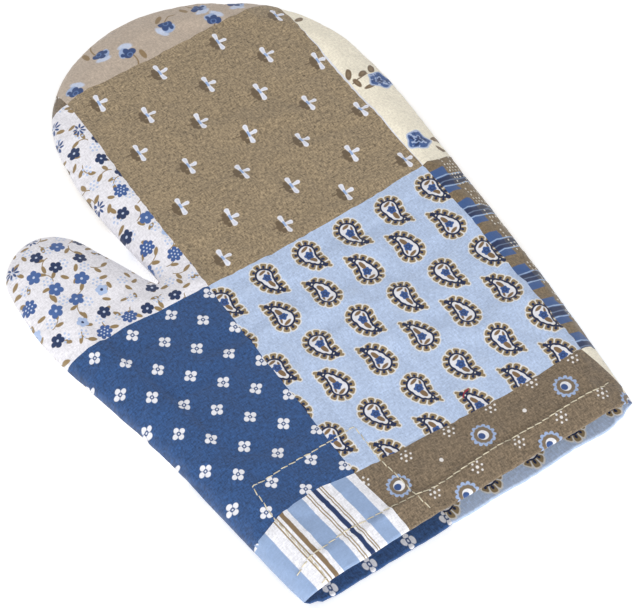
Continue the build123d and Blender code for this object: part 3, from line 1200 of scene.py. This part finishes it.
def cotton(surface, side, part, materials):
    """The printed cotton of one side of the hand or the fingers."""
    faces, verts, normals, flat, _ = surface.layer(side, part)
    uvs = cloth_uvs(flat, side)
    names = [patch_at(*to_cloth(*flat[list(f)].mean(0), side)) for f in faces]
    area = flat_area(flat, faces)
    width, length = flat_size(flat)
    if part == "hand":
        strip, strip_faces, strip_uvs = turned_hem(surface, side)
        names += [patch_at(*strip_uvs[list(f)].mean(0)) for f in strip_faces]
        normals = np.concatenate([normals, vertex_normals(strip, [f[:3] for f in strip_faces])])
        faces = faces + [tuple(i + len(verts) for i in f) for f in strip_faces]
        verts = np.concatenate([verts, strip])
        uvs = np.concatenate([uvs, strip_uvs])
        area += float(strip[:, 0].max() - strip[:, 0].min()) * HEM_DEPTH * MM * MM
        length += HEM_DEPTH * MM
    used = sorted(set(names))
    slots = [materials[n] for n in used]
    slot_of_face = [used.index(n) for n in names]
    piece = new_piece(f"{side}_cotton_{part}", verts, faces, slots, slot_of_face, uvs, normals)
    return piece


def pad(surface, side, part, material):
    """The wadding of one side, as a closed pad between the cotton and the lining."""
    kept, verts, normals, flat, gap = surface.layer(side, part, PAD_MARGINS)
    depth = np.maximum(COTTON_GAP + LEAST_PAD, panel_thickness(flat[:, 1], gap) - LINING_GAP * 2)
    points = np.concatenate([verts - normals * COTTON_GAP, verts - normals * depth[:, None]])
    count = len(verts)
    faces = kept + [tuple(i + count for i in reversed(f)) for f in kept]
    edges = dict.fromkeys((f[k], f[(k + 1) % 3]) for f in kept for k in range(3))
    faces += [(b, a, a + count, b + count) for a, b in edges if (b, a) not in edges]
    uvs = cloth_uvs(np.concatenate([flat, flat]), side)
    piece = new_piece(f"{side}_pad_{part}", points, faces, [material], uvs=uvs)
    return piece


def liner(surface, side, part, material):
    """The lining of one side, tucked under the turned hem."""
    kept, verts, normals, flat, gap = surface.layer(side, part, LINER_MARGINS)
    depth = np.maximum(LEAST_LINING_DEPTH, panel_thickness(flat[:, 1], gap) - LINING_GAP)
    faces = [tuple(reversed(f)) for f in kept]
    points = verts - normals * depth[:, None]
    piece = new_piece(f"{side}_liner_{part}", points, faces, [material], uvs=cloth_uvs(flat, side))
    area = flat_area(flat, kept)
    flat_size(flat)
    return piece


def inner_patch(surface, material):
    """The small cloth that the U of stitches holds, on the inside of the front lining."""
    us = np.linspace(*INNER_PATCH_U, INNER_PATCH_GRID[0])
    vs = np.linspace(*INNER_PATCH_V, INNER_PATCH_GRID[1])
    uvs = [(u, v) for v in vs for u in us]
    places = [(u + CLOTH_ORIGIN[0], v + CLOTH_ORIGIN[1]) for u, v in uvs]
    points = [surface.inside_at(x, y, "front", INNER_PATCH_GAP) for x, y in places]
    faces = flipped(grid_faces(len(vs), len(us)))
    piece = new_piece("inner_patch", points, faces, [material], uvs=uvs)
    return piece


def tube(rings):
    """Points and faces of a closed thread through rings of (middle, sideways, outward, radius)."""
    points = []
    for middle, side, out, radius in rings:
        for k in range(THREAD_SIDES):
            angle = 2 * math.pi * k / THREAD_SIDES
            points.append(middle + radius * (side * math.cos(angle) + out * math.sin(angle)))
    ends = range(THREAD_SIDES)
    faces = grid_faces(len(rings), THREAD_SIDES, wrap=True)
    faces.append(tuple(reversed(ends)))
    faces.append(tuple(len(points) - THREAD_SIDES + k for k in ends))
    return points, faces


def stitches_on(places, pitch, length):
    """For each stitch along a line of (point, normal) places, the places of its rings."""
    line = np.array([np.concatenate(p) for p in places])
    run = run_along(line[:, :3])
    found = []
    for start in np.arange(0, run[-1] - length, pitch):
        stitch = []
        for share, _, _, _ in STITCH_RINGS:
            mixed = np.array([np.interp(start + share * length, run, column) for column in line.T])
            stitch.append((mixed[:3], mixed[3:] / np.linalg.norm(mixed[3:])))
        found.append(stitch)
    return found


def thread_piece(name, stitches, material):
    """A piece made of thread stitches that dip into the cloth at their ends, kept above the floor."""
    points, faces = [], []
    for number, stitch in enumerate(stitches):
        direction = stitch[-1][0] - stitch[0][0]
        direction /= np.linalg.norm(direction)
        lean = STITCH_LEAN * (1 if number % 2 else 0.6)
        rings = []
        for (spot, out), (_, radius, lift, share) in zip(stitch, STITCH_RINGS):
            side = np.cross(direction, out)
            side /= np.linalg.norm(side)
            rings.append((spot + out * lift + side * lean * share, side, out, radius))
        more, more_faces = tube(rings)
        faces += [tuple(i + len(points) for i in f) for f in more_faces]
        points += more
    points = np.array(points)
    points[:, 2] = np.maximum(points[:, 2], 0.0)
    piece = new_piece(name, points, faces, [material])
    return piece


def stitch_row(surface, name, row, side, material):
    """A piece of stitches along a path given in cloth coordinates."""
    line = CLOTH_ORIGIN + resampled(row, 1.0)
    places = [surface.at(x, y, side) for x, y in line]
    return thread_piece(name, stitches_on(places, STITCH_PITCH, STITCH_LENGTH), material)


def closing_seam(surface, part, material):
    """The stitches that close the mitt, just inside its edge, over one part of the outline."""
    path = surface.path
    crotch = int(nearest_on(path, np.array([CROTCH]))[1][0])
    right = int(nearest_on(path, split_line()[-1:])[1][0])
    verts = surface.shell["verts"][surface.shell["seam"]]
    inward = inward_normals(path)
    up = np.array([0.0, 0.0, 1.0])
    places = [(spot + np.array([*way, 0]) * SEAM_INSET, up) for spot, way in zip(verts, inward)]
    runs = [places[crotch : right + 1]] if part == "fingers" else [places[1 : crotch + 1], places[right:-1]]
    stitches = [s for run in runs for s in stitches_on(run, SEAM_PITCH, SEAM_STITCH)]
    return thread_piece(f"seam_line_{part}", stitches, material)


def stray_thread(surface, material):
    """A short cut end of red thread that lies on the front."""
    (u0, v0), (u1, v1) = STRAY_THREAD
    places = []
    for t in np.linspace(0, 1, STRAY_POINTS):
        u = u0 + (u1 - u0) * t
        v = v0 + (v1 - v0) * t + 0.5 * math.sin(t * 5)
        spot, out = surface.at(u + CLOTH_ORIGIN[0], v + CLOTH_ORIGIN[1], "front")
        places.append((spot + out * STRAY_LIFT, out))
    rings = []
    for k, (spot, out) in enumerate(places):
        ahead = places[min(k + 1, STRAY_POINTS - 1)][0] - places[max(k - 1, 0)][0]
        side = np.cross(ahead, out)
        rings.append((spot, side / np.linalg.norm(side), out, STRAY_RADIUS))
    piece = new_piece("stray_thread", *tube(rings), [material])
    return piece


def build():
    """Makes every piece, and hides the CAD nodes that each one stands for."""
    path = rounded_path(OUTLINE, EDGE_STEP)
    shell = joined_shell(path)
    shell = relaxed(shell)
    shell["gap"] = distance_to(path, shell["flat"])
    surface = Surface(shell, path)
    prints = print_materials()
    lining = Print("lining_cloth", (226, 220, 206), 0.1).finish()
    batting = batting_material()
    cream = thread_material("cream_thread", (226, 216, 190))
    red = thread_material("red_thread", (160, 24, 56))
    pieces = {"hand": [], "fingers": []}
    for side in ("front", "back"):
        for part, bodies in BODIES.items():
            layers = (("outer", cotton, prints), ("wadding", pad, batting), ("lining", liner, lining))
            for layer, make, material in layers:
                piece = make(surface, side, part, material)
                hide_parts(*[f"{side}_{layer}_{body}" for body in bodies])
                pieces[part].append(piece)
    for part, bodies in BODIES.items():
        piece = closing_seam(surface, part, cream)
        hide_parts(*[f"seam_thread_{body}" for body in bodies])
        pieces[part].append(piece)
    riders = [stitch_row(surface, f"{side}_hem_thread", row, side, cream) for side, row in HEM_ROWS.items()]
    riders.append(stitch_row(surface, "patch_thread", PATCH_ROW, "front", cream))
    riders.append(inner_patch(surface, lining))
    nodes = ("front_hem_stitching", "back_hem_stitching", "patch_stitching", "cuff_patch")
    for piece, node in zip(riders, nodes):
        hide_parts(node)
        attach(piece, "palm")
    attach(stray_thread(surface, red), "palm")
    for part, (body, start, end) in BLENDS.items():
        start, end = [(x * MM, y * MM, 0) for x, y in (start, end)]
        for piece in pieces[part]:
            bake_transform(piece)


def studio():
    """A white floor, soft light from above and behind, and the camera."""
    scene = bpy.context.scene
    mesh = bpy.data.meshes.new("floor")
    corners = [(x * FLOOR_HALF, y * FLOOR_HALF, 0) for x, y in ((-1, -1), (1, -1), (1, 1), (-1, 1))]
    mesh.from_pydata(corners, [], [(0, 1, 2, 3)])
    floor = bpy.data.objects.new("floor", mesh)
    scene.collection.objects.link(floor)
    floor.location.z = FLOOR_Z
    white = bpy.data.materials.new("floor_white")
    white.use_nodes = True
    shader = white.node_tree.nodes["Principled BSDF"]
    set_inputs(shader, Base_Color=(0.93, 0.93, 0.93, 1), Roughness=0.9)
    set_inputs(shader, Emission_Color=(1, 1, 1, 1), Emission_Strength=0.35)
    mesh.materials.append(white)
    scene.world = bpy.data.worlds.new("studio")
    scene.world.use_nodes = True
    set_inputs(scene.world.node_tree.nodes["Background"], Color=(1, 1, 1, 1), Strength=0.56)
    for name, place, watts, size in LIGHTS:
        light = bpy.data.lights.new(name, "AREA")
        light.energy = watts
        light.size = size
        lamp = bpy.data.objects.new(name, light)
        scene.collection.objects.link(lamp)
        lamp.location = place
        lamp.rotation_euler = (-Vector(place)).to_track_quat("-Z", "Y").to_euler()
    forward = Vector(CAMERA_FORWARD).normalized()
    up = Vector(CAMERA_RIGHT).normalized().cross(forward).normalized()
    right = forward.cross(up).normalized()
    camera = bpy.data.objects.new("camera", bpy.data.cameras.new("camera"))
    scene.collection.objects.link(camera)
    turn = Matrix((right, up, -forward)).transposed().to_4x4()
    camera.matrix_world = Matrix.Translation(Vector(CAMERA_PLACE) * MM) @ turn
    camera.data.sensor_width = 36
    camera.data.lens = 129.0
    camera.data.clip_start = 0.01
    scene.camera = camera
    scene.view_settings.view_transform = "Standard"


build()
studio()
bpy.context.view_layer.update()
